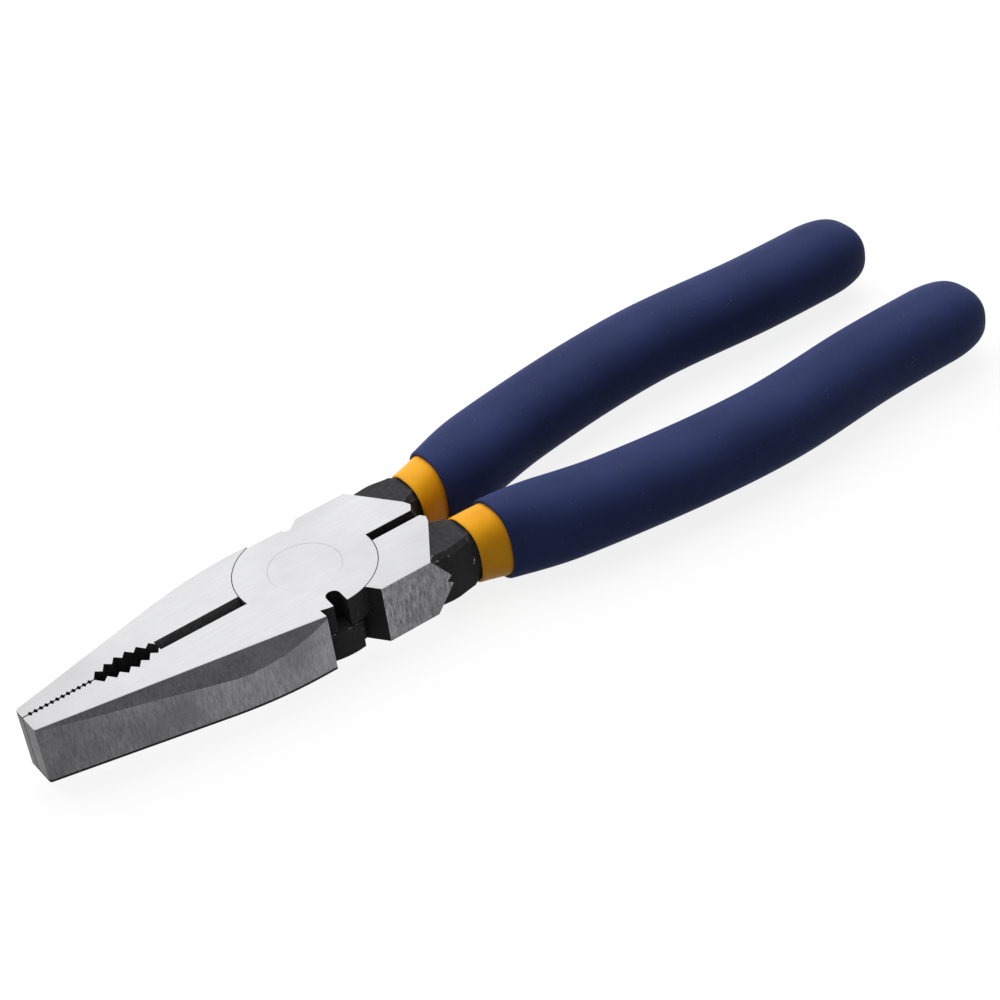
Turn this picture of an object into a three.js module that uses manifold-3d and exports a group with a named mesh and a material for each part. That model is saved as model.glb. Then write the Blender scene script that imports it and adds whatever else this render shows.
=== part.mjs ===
// Combination pliers: two crossed levers on a lap joint, a flush rivet, and a two-layer sleeve on each handle.
// Millimetres. The pivot axis is Z, the jaws point along -X and the handles along +X.
// The rear half is the front half turned over about the X axis, with its outline set off to the same side of the tool.
import * as THREE from 'three';
import { mergeVertices } from 'three/addons/utils/BufferGeometryUtils.js';
import Module from 'manifold-3d';

const wasm = await Module();
wasm.setup();

// Head
const headThickness = 12.2;
const jawLength = 57.8;        // pivot axis to the jaw tips
const jawRear = 4.7;           // pivot axis to the rear end face of a jaw
const tipHalfWidth = 3.6;      // one jaw at its tip
const headHalfWidth = 13.8;    // one jaw at its widest
const widestPoint = 16.4;      // pivot axis to the bend in the jaw's side
const sideBend = 9;            // how far the bend reaches each way
const tipRounding = 0.35;
const facetInset = 0.25;       // from the jaw's side to the edge of its facet, at both ends
const facetSlope = 2.1;        // how steeply the facet drops, for each unit outwards
const jawGap = 0.3;            // between the closed jaws
const sideShift = 0.9;         // outline and handles, from the pivot axis towards -Y

// Lap joint
const discRadius = 13.2;
const rimHalfWidth = 13.1;     // middle of the outline to the flat on the rim
const runningGap = 0.3;        // between the two levers, and round the rivet
const rivetRadius = 6.6;
const rivetShankRadius = 5;
const rivetFlare = 1.5;        // depth of each countersunk rivet end

// Jaw teeth and cutter
const fineLead = 1.5;          // from the jaw tips to the first fine notch
const finePitch = 1.06;
const fineDepth = 0.5;
const fineHalfWidth = 0.36;
const gripStart = 43.7;        // pipe grip, from the pivot axis
const gripLength = 13;
const gripArch = 1.45;         // depth of the oval at its middle
const gripToothDepth = 1.3;
const gripCount = 6;
const cutterMouth = 1.35;      // half width of the cutter groove at the ground face
const cutterLand = 0.2;        // height of each cutting edge from the middle plane

// Shear cutter in the joint: a slot in the disc, and a gap beside the shoulder
const shearSlotRadius = 1.35;
const shearSlotDepth = 4;      // from the rim of the disc to the bottom of the slot
const shearSlotAngle = 266;    // degrees round the pivot axis
const shearGapDepth = 1.3;     // from the rim of the disc to the bottom of the gap
const shearBlockEnd = 82;      // degrees round the pivot axis, where the rim stops at the gap
const shearGapFloor = 11;      // degrees from there to the foot of the shoulder

// Shoulder behind the joint
const shoulderHalfWidth = 14.3;
const shoulderFront = 6.5;     // pivot axis to the front corner of the shoulder
const shoulderSideEnd = 17.2;  // end of the ground side
const shoulderEnd = 24.4;      // end of the ground face beside the slot
const shoulderNose = 4;        // from the middle line to the corner of the ground face
const shoulderRun = 4.6;       // how far the side slopes back at the middle plane
const shoulderNoseRun = 2;     // and the end beside the slot
const handleSlot = 1.8;        // slot between the shoulders
const slotStep = 0.5;          // how far its wall steps back in the covered half

// Handle
const handleStart = [15, 7.6];
const handleCollar = [29, 9.4];
const handleMiddle = [58, 16.1];
const handleBelly = [91, 19.5];
const handleWaist = [120, 17.65];
const handleEnd = [146.6, 17.4];
const tangHalfWidth = 4.85;
const tangHalfHeight = 5.5;
const tangRidge = 0.9;         // how far the side ridge stands out
const tangBevel = 1.5;
const rootHalfWidth = 6.1;     // tang where it leaves the shoulder
const rootHalfHeight = 5.9;
const rootRidge = 0.4;
const rootBevel = 0.9;
const rootFade = 1.5;          // length ahead of the inner sleeve over which the tang takes its plain section
const barEndGap = 9;           // from the end of the steel to the end of the grip

// Sleeves, cut square to the tool at their front
const collarGap = 1.1;         // from the end of the shoulder to the inner sleeve
const collarLength = 5.7;      // inner sleeve that shows ahead of the grip
const collarRise = 0.95;       // how much taller it is at the front of the grip
const innerWall = 0.6;
const sleeveGap = 0.2;         // between layers
const innerEndWall = 1.4;
const gripHalfWidth = 8.35;
const gripHalfHeight = 7.1;
const gripLip = 0.55;          // thickness of the grip at its front edge
const gripSwell = 13;          // length over which the grip widens to its full size
const gripTaper = 26;          // length over which it comes down to its full height
const gripEndRadius = 10.5;
const gripEndPower = 0.38;     // 1 is a round end, less is blunter
const sleeveRoundness = 2.5;   // 2 is an ellipse, more is squarer

// Facets
const discSegments = 96;
const ringPoints = 24;
const gripSteps = 26;
const barSteps = 14;
const rootSteps = 10;
const endSteps = 7;
const bendSteps = 10;

const half = headThickness / 2;
const beyond = 1;              // how far a cutting solid runs past what it cuts

function solid(geometry) {
  geometry.deleteAttribute('normal');
  geometry.deleteAttribute('uv');
  const merged = mergeVertices(geometry, 1e-5);
  return new wasm.Manifold(new wasm.Mesh({
    numProp: 3,
    vertProperties: new Float32Array(merged.attributes.position.array),
    triVerts: new Uint32Array(merged.index.array),
  }));
}

function geometryOf(body) {
  const mesh = body.getMesh();
  const geometry = new THREE.BufferGeometry();
  geometry.setAttribute('position', new THREE.BufferAttribute(mesh.vertProperties, 3));
  geometry.setIndex(new THREE.BufferAttribute(mesh.triVerts, 1));
  geometry.computeVertexNormals();
  return geometry;
}

// A flat outline raised from one height to another.
function prism(shape, low, high) {
  const geometry = new THREE.ExtrudeGeometry(shape, {
    depth: high - low,
    bevelEnabled: false,
    curveSegments: discSegments / 4,
  });
  return solid(geometry.translate(0, 0, low));
}

function outline(points) {
  return new THREE.Shape(points.map(([x, y]) => new THREE.Vector2(x, y)));
}

function disc(radius, low, high) {
  const geometry = new THREE.CylinderGeometry(radius, radius, high - low, discSegments);
  return solid(geometry.rotateX(Math.PI / 2).translate(0, 0, (low + high) / 2));
}

// A closed skin over rings of points, all with the same count, in order along the piece.
function loft(rings) {
  const count = rings[0].length;
  const positions = rings.flat().flatMap((point) => [point.x, point.y, point.z]);
  const index = [];
  for (let ring = 0; ring + 1 < rings.length; ring += 1) {
    for (let k = 0; k < count; k += 1) {
      const a = ring * count + k;
      const b = ring * count + (k + 1) % count;
      index.push(a, b, a + count, b, b + count, a + count);
    }
  }
  const caps = THREE.ShapeUtils.triangulateShape(rings[0].map((point) => point.flat), []);
  const last = (rings.length - 1) * count;
  for (const [a, b, c] of caps) {
    index.push(a, c, b);
    index.push(last + a, last + b, last + c);
  }
  if (signedVolume(rings.flat(), index) < 0) {
    index.reverse();
  }
  const geometry = new THREE.BufferGeometry();
  geometry.setAttribute('position', new THREE.Float32BufferAttribute(positions, 3));
  geometry.setIndex(index);
  return solid(geometry);
}

// Negative where the triangles of a closed skin face inwards.
function signedVolume(points, index) {
  let sum = 0;
  for (let i = 0; i < index.length; i += 3) {
    const [a, b, c] = [points[index[i]], points[index[i + 1]], points[index[i + 2]]];
    sum += new THREE.Vector3().crossVectors(a, b).dot(c);
  }
  return sum;
}

function ringPoint(x, y, z, flatX, flatY) {
  const point = new THREE.Vector3(x, y, z);
  point.flat = new THREE.Vector2(flatX, flatY);
  return point;
}

function around(radius, degrees) {
  const angle = THREE.MathUtils.degToRad(degrees);
  return [radius * Math.cos(angle), radius * Math.sin(angle)];
}

// Near jaw, with its teeth, seen from above: the biting face first, then the outer side.
function jawShape(shift) {
  const face = -jawGap / 2;
  const tipSide = tipHalfWidth + shift;
  const side = headHalfWidth + shift;
  const points = [[-jawLength, face]];
  const fineLength = jawLength - fineLead - gripStart - fineHalfWidth;
  for (let i = 0; i * finePitch <= fineLength; i += 1) {
    const x = -jawLength + fineLead + i * finePitch;
    points.push([x - fineHalfWidth, face], [x, face - fineDepth], [x + fineHalfWidth, face]);
  }
  const pitch = gripLength / gripCount;
  const arch = (x) => gripArch * Math.sin(Math.PI * (x + gripStart) / gripLength);
  for (let i = 0; i < gripCount; i += 1) {
    const tip = -gripStart + i * pitch;
    const root = tip + pitch / 2;
    points.push([tip, face - arch(tip)], [root, face - arch(root) - gripToothDepth]);
  }
  points.push([-gripStart + gripLength, face]);
  points.push([-jawRear, face]);
  points.push([-jawRear, -side]);
  const slope = (side - tipSide) / (jawLength - widestPoint);
  const bend = new THREE.QuadraticBezierCurve(
    new THREE.Vector2(-widestPoint + Math.min(sideBend, widestPoint - jawRear - fineLead), -side),
    new THREE.Vector2(-widestPoint, -side),
    new THREE.Vector2(-widestPoint - sideBend, -side + slope * sideBend),
  );
  for (const { x, y } of bend.getPoints(bendSteps)) {
    points.push([x, y]);
  }
  points.push([-jawLength + tipRounding, -tipSide - slope * tipRounding]);
  points.push([-jawLength, -tipSide + tipRounding]);
  return outline(points);
}

// One side of the cutter groove: a wedge that opens from the cutting edge to a ground face.
function cutterWedge() {
  const front = -gripStart + gripLength - gripToothDepth / 4;
  const rear = -Math.sqrt(discRadius ** 2 - cutterMouth ** 2);
  const edge = -jawGap / 2;
  const lean = (cutterMouth + edge) / (half - cutterLand);
  const wall = (z) => edge - (z - cutterLand) * lean;
  const high = half + beyond;
  const low = -high;
  return loft([front, rear].map((x) => [
    ringPoint(x, wall(low), low, wall(low), low),
    ringPoint(x, wall(low), high, wall(low), high),
    ringPoint(x, wall(high), high, wall(high), high),
  ]));
}

// The flat facet along the upper outer edge of the jaw, sloping down from a straight line on the face.
function sideFacet(shift) {
  const start = new THREE.Vector2(-jawLength, -tipHalfWidth - shift + facetInset);
  const end = new THREE.Vector2(-jawRear, -headHalfWidth - shift + facetInset);
  const along = end.clone().sub(start).normalize();
  const out = new THREE.Vector2(along.y, -along.x);
  const reach = headHalfWidth;
  const stations = [start.clone().addScaledVector(along, -beyond), end.clone().addScaledVector(along, beyond)];
  return loft(stations.map((station) => {
    const at = (distance, z) => ringPoint(
      station.x + out.x * distance, station.y + out.y * distance, z, distance, z,
    );
    const above = half + beyond * facetSlope;
    return [at(-beyond, above), at(reach, half - reach * facetSlope), at(reach, above)];
  }));
}

// Where the gap beside the shoulder bottoms out, at the foot of the shoulder's front face.
function gapBottom() {
  return around(discRadius - shearGapDepth, shearBlockEnd - shearGapFloor);
}

// Far shoulder: a full-thickness block with a sloping rear, behind the joint.
function shoulder(shift) {
  const wall = handleSlot / 2 - shift;
  const nose = shoulderNose - shift;
  const [innerX, innerY] = gapBottom();
  const shape = (run, noseRun) => [
    [0, wall],
    [shoulderEnd - beyond + noseRun, wall],
    [shoulderEnd + noseRun, (wall + nose) / 2],
    [shoulderEnd - slotStep + noseRun, nose],
    [shoulderSideEnd + run, shoulderHalfWidth - shift],
    [shoulderFront - beyond, shoulderHalfWidth - shift],
    [innerX - beyond, innerY],
    [0, innerY / 2],
  ];
  const layers = [[-half, 0, 0], [0, shoulderRun, shoulderNoseRun], [half, 0, 0]];
  const block = loft(layers.map(([z, ...runs]) => shape(...runs).map(([x, y]) => ringPoint(x, y, z, x, y))));
  const stepBack = outline([
    [0, wall - beyond],
    [shoulderEnd + shoulderRun + beyond, wall - beyond],
    [shoulderEnd + shoulderRun + beyond, wall + slotStep],
    [0, wall + slotStep],
  ]);
  return block.subtract(prism(stepBack, -half - beyond, 0));
}

// Handle line in plan, and its place and steepness at a distance from the pivot axis.
const handleLine = new THREE.CatmullRomCurve3(
  [handleStart, handleCollar, handleMiddle, handleBelly, handleWaist, handleEnd]
    .map(([x, y]) => new THREE.Vector3(x, y, 0)),
);
const handleTip = handleEnd[0];
const lineSteps = 40;

function onHandle(x) {
  let [low, high] = [0, 1];
  for (let i = 0; i < lineSteps; i += 1) {
    const middle = (low + high) / 2;
    if (handleLine.getPoint(middle).x < x) {
      low = middle;
    } else {
      high = middle;
    }
  }
  return { y: handleLine.getPoint(low).y, spread: 1 / handleLine.getTangent(low).x };
}

// A section across the tool, widened where the handle runs at a slant.
function ringAt(x, points, shift) {
  const { y, spread } = onHandle(x);
  return points.map(([side, up]) => ringPoint(x, y - shift + side * spread, up, side, up));
}

// Ten-sided section of the tang: flat top and bottom, bevelled edges, a ridge at mid height on each side.
function tangSection(width, height, ridge = tangRidge, bevel = tangBevel) {
  const quarter = [[width, 0], [width - ridge, height - bevel], [width - ridge - bevel, height]];
  const mirrored = (list, x, y) => list.map(([a, b]) => [a * x, b * y]);
  return [
    ...quarter,
    ...mirrored(quarter, -1, 1).reverse(),
    ...mirrored(quarter, -1, -1).slice(1),
    ...mirrored(quarter, 1, -1).slice(1).reverse(),
  ];
}

function roundSection(width, height) {
  const power = 2 / sleeveRoundness;
  return Array.from({ length: ringPoints }, (_, k) => {
    const angle = 2 * Math.PI * k / ringPoints;
    const c = Math.cos(angle);
    const s = Math.sin(angle);
    return [width * Math.sign(c) * Math.abs(c) ** power, height * Math.sign(s) * Math.abs(s) ** power];
  });
}

const collarFront = shoulderEnd + shoulderNoseRun + collarGap;
const gripFront = collarFront + collarLength;
const barEnd = handleTip - barEndGap;

// Rings of one section after another, in order along the handle.
function sweep(start, end, steps, section, shift) {
  return Array.from({ length: steps + 1 }, (_, i) => {
    const x = start + (end - start) * i / steps;
    return ringAt(x, section(x), shift);
  });
}

// Steel: from the shoulder it narrows to the tang, then runs on under the sleeves as a plain bar.
function rootSection(x) {
  const { lerp, smoothstep } = THREE.MathUtils;
  const narrowing = smoothstep(x, (handleStart[0] + collarFront) / 2, collarFront - beyond);
  const fade = smoothstep(x, collarFront - rootFade, collarFront);
  return tangSection(
    lerp(rootHalfWidth, tangHalfWidth, narrowing),
    lerp(rootHalfHeight, tangHalfHeight, fade),
    lerp(rootRidge, tangRidge, fade),
    lerp(rootBevel, tangBevel, fade),
  );
}

function barSection(grow) {
  return () => tangSection(tangHalfWidth + grow, tangHalfHeight + grow);
}

// Inner sleeve: rises to the front of the grip, then comes down under it.
function innerSection(grow) {
  const wall = sleeveGap + innerWall + grow;
  return (x) => {
    const rise = THREE.MathUtils.clamp((x - collarFront) / collarLength, 0, 1)
      - THREE.MathUtils.smoothstep(x, gripFront, gripFront + gripTaper);
    return roundSection(tangHalfWidth + wall, tangHalfHeight + wall + collarRise * rise);
  };
}

// The front lever: near jaw, disc on the upper half of the joint, far handle.
function lever(shift) {
  const seat = disc(discRadius + runningGap, -half - beyond, runningGap / 2);
  const jaw = prism(jawShape(shift), -half, half)
    .subtract(cutterWedge())
    .subtract(cutterWedge().mirror([0, 0, 1]))
    .subtract(sideFacet(shift));
  const root = sweep(handleStart[0], collarFront, rootSteps, rootSection, shift);
  const bar = sweep(collarFront, barEnd, 2 * barSteps, barSection(0), shift).slice(1);
  const handle = shoulder(shift).add(loft([...root, ...bar]));
  const upper = disc(discRadius, runningGap / 2, half).subtract(rimFlat(shift));
  const slot = prism(shearSlot(), -half - beyond, half + beyond);
  const gap = prism(shearGap(shift), -half - beyond, half + beyond);
  return jaw.add(handle)
    .subtract(seat)
    .add(upper)
    .subtract(slot)
    .subtract(gap)
    .subtract(rivet(runningGap));
}

// What the flat takes off the rim of the disc, where the disc reaches it.
function rimFlat(shift) {
  const flat = rimHalfWidth - shift;
  const out = discRadius + sideShift + beyond;
  return prism(outline([[-out, flat], [out, flat], [out, flat + out], [-out, flat + out]]), 0, half + beyond);
}

// Round-ended slot that opens through the rim of the disc.
function shearSlot() {
  const [x, y] = around(discRadius - shearSlotDepth + shearSlotRadius, shearSlotAngle);
  const [outX, outY] = around(shearSlotDepth + beyond, shearSlotAngle);
  const side = THREE.MathUtils.degToRad(shearSlotAngle + 90);
  const shape = new THREE.Shape();
  shape.absarc(x, y, shearSlotRadius, side, side + Math.PI, false);
  const arc = shape.getPoints();
  const left = arc.at(-1);
  const right = arc[0];
  shape.lineTo(left.x + outX, left.y + outY);
  shape.lineTo(right.x + outX, right.y + outY);
  return shape;
}

// Gap between the end of the rim and the front face of the shoulder.
function shearGap(shift) {
  const foot = gapBottom();
  const side = shoulderHalfWidth - shift;
  const rise = (side + beyond - foot[1]) / (side - foot[1]);
  return outline([
    around(discRadius + 2 * beyond, shearBlockEnd),
    around(discRadius - shearGapDepth, shearBlockEnd - shearGapFloor / 2),
    foot,
    [foot[0] + (shoulderFront - foot[0]) * rise, side + beyond],
  ]);
}

// Rivet with both ends flared into countersinks, or, grown, the hole that it turns in.
function rivet(grow) {
  const top = half + (grow > 0 ? beyond : 0);
  const flare = (rivetRadius - rivetShankRadius) / rivetFlare;
  const profile = [
    [0, -top],
    [rivetRadius + grow + flare * (top - half), -top],
    [rivetShankRadius + grow, -half + rivetFlare],
    [rivetShankRadius + grow, half - rivetFlare],
    [rivetRadius + grow + flare * (top - half), top],
    [0, top],
  ];
  const geometry = new THREE.LatheGeometry(
    profile.map(([radius, z]) => new THREE.Vector2(radius, z)), discSegments,
  );
  return solid(geometry.rotateX(Math.PI / 2));
}

// Thin sleeve straight on the steel: a blind tube whose front edge shows as a collar.
function innerSleeve(shift) {
  const end = barEnd + sleeveGap;
  const front = sweep(collarFront, gripFront, 2, innerSection(0), shift);
  const rear = sweep(gripFront, end + innerEndWall, barSteps, innerSection(0), shift).slice(1);
  const bore = sweep(collarFront - beyond, end, 2 * barSteps, barSection(sleeveGap), shift);
  return loft([...front, ...rear]).subtract(loft(bore));
}

// Thick outer sleeve, swelling from a thin lip and round at its end.
function outerGrip(shift) {
  const lip = 2 * sleeveGap + innerWall + gripLip;
  const section = (x, scale = 1) => {
    const swell = THREE.MathUtils.smoothstep(x, gripFront - gripSwell, gripFront + gripSwell);
    const taper = THREE.MathUtils.smoothstep(x, gripFront, gripFront + gripTaper);
    const width = THREE.MathUtils.lerp(tangHalfWidth + lip, gripHalfWidth, 2 * swell - 1);
    const height = THREE.MathUtils.lerp(tangHalfHeight + lip + collarRise, gripHalfHeight, taper);
    return roundSection(width * scale, height * scale);
  };
  const roundFrom = handleTip - gripEndRadius;
  const front = sweep(gripFront, gripFront + gripSwell, 5, section, shift);
  const body = sweep(gripFront + gripSwell, roundFrom, gripSteps, section, shift).slice(1);
  const end = Array.from({ length: endSteps }, (_, i) => {
    const angle = Math.PI / 2 * (i + 1) / (endSteps + 0.5);
    const x = roundFrom + gripEndRadius * Math.sin(angle);
    return ringAt(x, section(x, Math.cos(angle) ** gripEndPower), shift);
  });
  const boreFront = sweep(gripFront - beyond, gripFront, 1, innerSection(sleeveGap), shift);
  const boreEnd = barEnd + 2 * sleeveGap + innerEndWall;
  const boreRear = sweep(gripFront, boreEnd, barSteps, innerSection(sleeveGap), shift).slice(1);
  return loft([...front, ...body, ...end]).subtract(loft([...boreFront, ...boreRear]));
}

const groundSteel = new THREE.MeshStandardMaterial({ color: 0xc9cacc, roughness: 0.35, metalness: 1 });
const rivetSteel = new THREE.MeshStandardMaterial({ color: 0xbfc0c3, roughness: 0.3, metalness: 1 });
const yellowVinyl = new THREE.MeshStandardMaterial({ color: 0xf0aa14, roughness: 0.45, metalness: 0 });
const navyVinyl = new THREE.MeshStandardMaterial({ color: 0x262f63, roughness: 0.7, metalness: 0 });

function piece(name, body, material) {
  const mesh = new THREE.Mesh(geometryOf(body), material);
  mesh.name = name;
  return mesh;
}

function leverWithSleeves(side, shift) {
  const group = new THREE.Group();
  group.add(piece(`${side}_lever`, lever(shift), groundSteel));
  group.add(piece(`${side}_inner_sleeve`, innerSleeve(shift), yellowVinyl));
  group.add(piece(`${side}_outer_grip`, outerGrip(shift), navyVinyl));
  return group;
}

const pliers = new THREE.Group();
pliers.position.z = half;
const frontHalf = leverWithSleeves('front', sideShift);
const rearHalf = leverWithSleeves('rear', -sideShift);
rearHalf.rotation.x = Math.PI;
pliers.add(frontHalf, rearHalf, piece('pivot_rivet', rivet(0), rivetSteel));

export default pliers;
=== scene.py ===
import bmesh
import bpy
import math
from mathutils import Matrix, Vector


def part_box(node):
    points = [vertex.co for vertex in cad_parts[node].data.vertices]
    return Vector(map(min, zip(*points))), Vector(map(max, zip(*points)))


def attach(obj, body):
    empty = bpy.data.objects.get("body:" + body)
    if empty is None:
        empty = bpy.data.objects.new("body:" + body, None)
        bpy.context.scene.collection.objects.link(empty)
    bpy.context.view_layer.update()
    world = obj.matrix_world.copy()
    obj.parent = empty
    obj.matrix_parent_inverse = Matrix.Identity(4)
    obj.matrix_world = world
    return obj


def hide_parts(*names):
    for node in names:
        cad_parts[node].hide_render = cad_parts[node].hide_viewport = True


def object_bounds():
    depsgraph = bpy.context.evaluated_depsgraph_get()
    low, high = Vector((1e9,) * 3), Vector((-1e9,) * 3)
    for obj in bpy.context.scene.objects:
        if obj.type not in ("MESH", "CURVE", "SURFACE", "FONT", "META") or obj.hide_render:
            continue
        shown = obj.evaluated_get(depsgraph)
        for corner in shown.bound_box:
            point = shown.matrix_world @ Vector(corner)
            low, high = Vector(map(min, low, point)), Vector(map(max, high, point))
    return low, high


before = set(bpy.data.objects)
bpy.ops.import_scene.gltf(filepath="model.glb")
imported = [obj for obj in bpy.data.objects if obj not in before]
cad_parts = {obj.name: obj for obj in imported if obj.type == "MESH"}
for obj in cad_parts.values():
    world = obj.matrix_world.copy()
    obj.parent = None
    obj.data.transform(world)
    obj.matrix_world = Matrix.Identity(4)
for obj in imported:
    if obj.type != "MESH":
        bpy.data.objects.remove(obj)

mm = 0.001
weld = 0.002 * mm        # corners of a mesh this close together are one
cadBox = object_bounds()
headLow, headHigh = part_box("pivot_rivet")
headTop = headHigh[2]
midPlane = (headLow[2] + headHigh[2]) / 2
sides = {"front": "front_half", "rear": "rear_half"}
print("frame loaded, head", round(headTop / mm, 2), "mm thick")


# Camera, matched to the photograph's 1000 by 1000 frame

camera = {
    "aim": (41.2 * mm, -2.4 * mm, 6.1 * mm),
    "azimuth": -31.08,
    "elevation": 36.83,
    "roll": -8.61,
    "distance": 0.4719,
    "lens": 90.62,
    "sensor": 36,
    "clipStart": 0.01,
}


def placeCamera():
    azimuth = math.radians(camera["azimuth"])
    elevation = math.radians(camera["elevation"])
    back = Vector((
        math.sin(azimuth) * math.cos(elevation),
        -math.cos(azimuth) * math.cos(elevation),
        math.sin(elevation),
    ))
    right = Vector((0, 0, 1)).cross(back).normalized()
    up = back.cross(right)
    roll = Matrix.Rotation(math.radians(camera["roll"]), 4, "Z")
    turn = Matrix((right, up, back)).transposed().to_4x4()
    data = bpy.data.cameras.new("camera")
    data.lens = camera["lens"]
    data.sensor_width = camera["sensor"]
    data.clip_start = camera["clipStart"]
    eye = bpy.data.objects.new("camera", data)
    place = Vector(camera["aim"]) + back * camera["distance"]
    eye.matrix_world = Matrix.Translation(place) @ turn @ roll
    bpy.context.scene.collection.objects.link(eye)
    bpy.context.scene.camera = eye


placeCamera()
print("camera placed")


# Shader helpers

def newMaterial(name):
    material = bpy.data.materials.new(name)
    material.use_nodes = True
    tree = material.node_tree
    return material, tree, tree.nodes["Principled BSDF"]


def addNode(tree, kind, **values):
    node = tree.nodes.new(kind)
    for key, value in values.items():
        if hasattr(node, key):
            setattr(node, key, value)
        else:
            node.inputs[key].default_value = value
    return node


def mixColors(tree, factor, first, second):
    node = tree.nodes.new("ShaderNodeMix")
    node.data_type = "RGBA"
    for socket, value in ((0, factor), (6, first), (7, second)):    # factor, A and B of a colour mix
        if hasattr(value, "is_linked"):
            tree.links.new(value, node.inputs[socket])
        else:
            node.inputs[socket].default_value = value
    return node.outputs[2]


def ramp(tree, value, low, high, outLow=0.0, outHigh=1.0):
    node = tree.nodes.new("ShaderNodeMapRange")
    tree.links.new(value, node.inputs["Value"])
    node.inputs["From Min"].default_value = low
    node.inputs["From Max"].default_value = high
    node.inputs["To Min"].default_value = outLow
    node.inputs["To Max"].default_value = outHigh
    return node.outputs["Result"]


def objectVector(tree, scale=(1, 1, 1), turn=0.0):
    coords = tree.nodes.new("ShaderNodeTexCoord")
    mapping = tree.nodes.new("ShaderNodeMapping")
    mapping.inputs["Scale"].default_value = scale
    mapping.inputs["Rotation"].default_value = (0, 0, turn)
    tree.links.new(coords.outputs["Object"], mapping.inputs["Vector"])
    return mapping.outputs["Vector"]


# Shared effect: grinding streaks along one direction, with a finer grit between them

streakForm = {
    "coarse": {"Detail": 4.0, "Roughness": 0.65},
    "fine": {"Detail": 6.0, "Roughness": 0.75},
    "fineScale": 3.7,          # times the scale of the coarse streaks
}


def makeStreakGroup():
    tree = bpy.data.node_groups.new("grindingStreaks", "ShaderNodeTree")
    sockets = tree.interface
    sockets.new_socket("Vector", in_out="INPUT", socket_type="NodeSocketVector")
    sockets.new_socket("Scale", in_out="INPUT", socket_type="NodeSocketFloat").default_value = 1.0
    sockets.new_socket("Streak", in_out="OUTPUT", socket_type="NodeSocketFloat")
    sockets.new_socket("Grit", in_out="OUTPUT", socket_type="NodeSocketFloat")
    start = tree.nodes.new("NodeGroupInput")
    end = tree.nodes.new("NodeGroupOutput")
    coarse = addNode(tree, "ShaderNodeTexNoise", **streakForm["coarse"])
    fine = addNode(tree, "ShaderNodeTexNoise", **streakForm["fine"])
    grow = addNode(tree, "ShaderNodeMath", operation="MULTIPLY")
    grow.inputs[1].default_value = streakForm["fineScale"]
    tree.links.new(start.outputs["Vector"], coarse.inputs["Vector"])
    tree.links.new(start.outputs["Vector"], fine.inputs["Vector"])
    tree.links.new(start.outputs["Scale"], coarse.inputs["Scale"])
    tree.links.new(start.outputs["Scale"], grow.inputs[0])
    tree.links.new(grow.outputs[0], fine.inputs["Scale"])
    tree.links.new(coarse.outputs["Fac"], end.inputs["Streak"])
    tree.links.new(fine.outputs["Fac"], end.inputs["Grit"])
    return tree


# Shared effect: small scattered flecks, used for chipped oxide and for dust

fleckForm = {
    "patch": {"Detail": 3.0, "Roughness": 0.6},
    "patchScale": 0.22,        # times the scale of the flecks
    "patchRange": (0.45, 0.7),
}


def makeFleckGroup():
    tree = bpy.data.node_groups.new("scatteredFlecks", "ShaderNodeTree")
    sockets = tree.interface
    sockets.new_socket("Vector", in_out="INPUT", socket_type="NodeSocketVector")
    sockets.new_socket("Scale", in_out="INPUT", socket_type="NodeSocketFloat").default_value = 1500.0
    sockets.new_socket("Amount", in_out="INPUT", socket_type="NodeSocketFloat").default_value = 0.3
    sockets.new_socket("Mask", in_out="OUTPUT", socket_type="NodeSocketFloat")
    start = tree.nodes.new("NodeGroupInput")
    end = tree.nodes.new("NodeGroupOutput")
    cells = addNode(tree, "ShaderNodeTexVoronoi", Randomness=1.0)
    patch = addNode(tree, "ShaderNodeTexNoise", **fleckForm["patch"])
    shrink = addNode(tree, "ShaderNodeMath", operation="MULTIPLY")
    shrink.inputs[1].default_value = fleckForm["patchScale"]
    reach = addNode(tree, "ShaderNodeMath", operation="MULTIPLY")
    tree.links.new(start.outputs["Vector"], cells.inputs["Vector"])
    tree.links.new(start.outputs["Scale"], cells.inputs["Scale"])
    tree.links.new(start.outputs["Vector"], patch.inputs["Vector"])
    tree.links.new(start.outputs["Scale"], shrink.inputs[0])
    tree.links.new(shrink.outputs[0], patch.inputs["Scale"])
    tree.links.new(ramp(tree, patch.outputs["Fac"], *fleckForm["patchRange"]), reach.inputs[0])
    tree.links.new(start.outputs["Amount"], reach.inputs[1])
    inside = addNode(tree, "ShaderNodeMath", operation="LESS_THAN")
    tree.links.new(cells.outputs["Distance"], inside.inputs[0])
    tree.links.new(reach.outputs[0], inside.inputs[1])
    tree.links.new(inside.outputs[0], end.inputs["Mask"])
    return tree


streakGroup = makeStreakGroup()
fleckGroup = makeFleckGroup()


def useGroup(tree, group, vector, **values):
    node = tree.nodes.new("ShaderNodeGroup")
    node.node_tree = group
    tree.links.new(vector, node.inputs["Vector"])
    for key, value in values.items():
        node.inputs[key].default_value = value
    return node


def bumpInto(tree, shader, height, strength, distance):
    bump = addNode(tree, "ShaderNodeBump", Strength=strength, Distance=distance)
    tree.links.new(height, bump.inputs["Height"])
    tree.links.new(bump.outputs["Normal"], shader.inputs["Normal"])


# Steel finishes

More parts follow.
